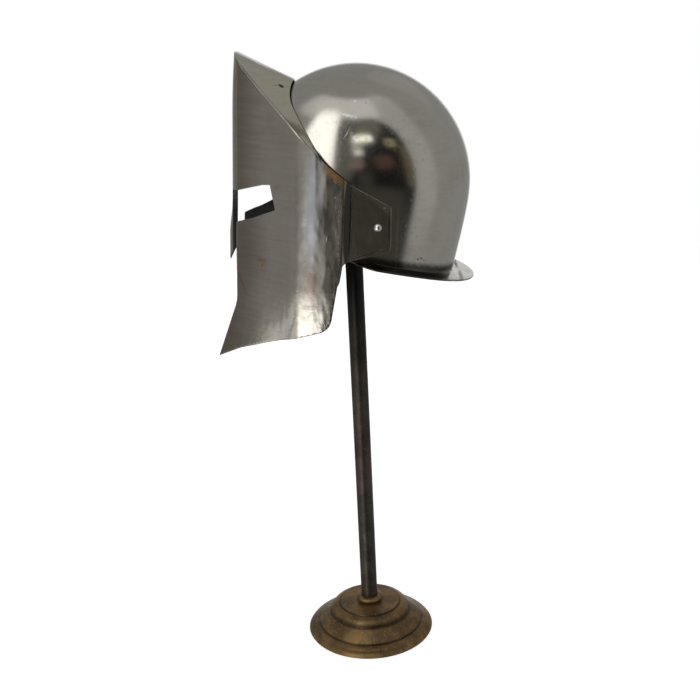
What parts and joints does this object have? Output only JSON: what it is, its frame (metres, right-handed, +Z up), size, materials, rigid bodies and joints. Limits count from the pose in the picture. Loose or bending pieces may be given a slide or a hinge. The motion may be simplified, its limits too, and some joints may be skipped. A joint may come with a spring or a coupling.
{
  "type": "visored helmet on display stand",
  "caption": "Steel helmet with a round rimmed skull and a tall lifting face visor with eye slots and a nasal, held up on a rod with a turned round base.",
  "frame": {"origin": "centre of the stand base's underside, on the rod's axis", "axes": "+Z up along the rod, -X the way the helmet faces, +Y to the helmet's right"},
  "size_m": [0.2902, 0.1942, 0.6913],
  "materials": {
    "skull_steel": "polished bare steel with fine brushing and light tarnish",
    "visor_steel": "brushed bare steel with light tarnish and small rust stains",
    "rivet_steel": "bright polished steel",
    "rod_iron": "dark browned iron, satin",
    "base_iron": "brown bronze patina, satin"
  },
  "bodies": {
    "helmet_and_stand": {"stand_base": "base_iron", "rod_collar": "base_iron", "support_rod": "rod_iron", "skull": "skull_steel", "left_rivet": "rivet_steel", "right_rivet": "rivet_steel"},
    "visor": {"visor": "visor_steel"}
  },
  "joints": [
    {"name": "visor_lift", "type": "hinge", "parent": "helmet_and_stand", "child": "visor", "pos_m": [0.02994, 0, 0.5135], "axis": [0, 1, 0], "range_deg": [0, 15]}
  ]
}
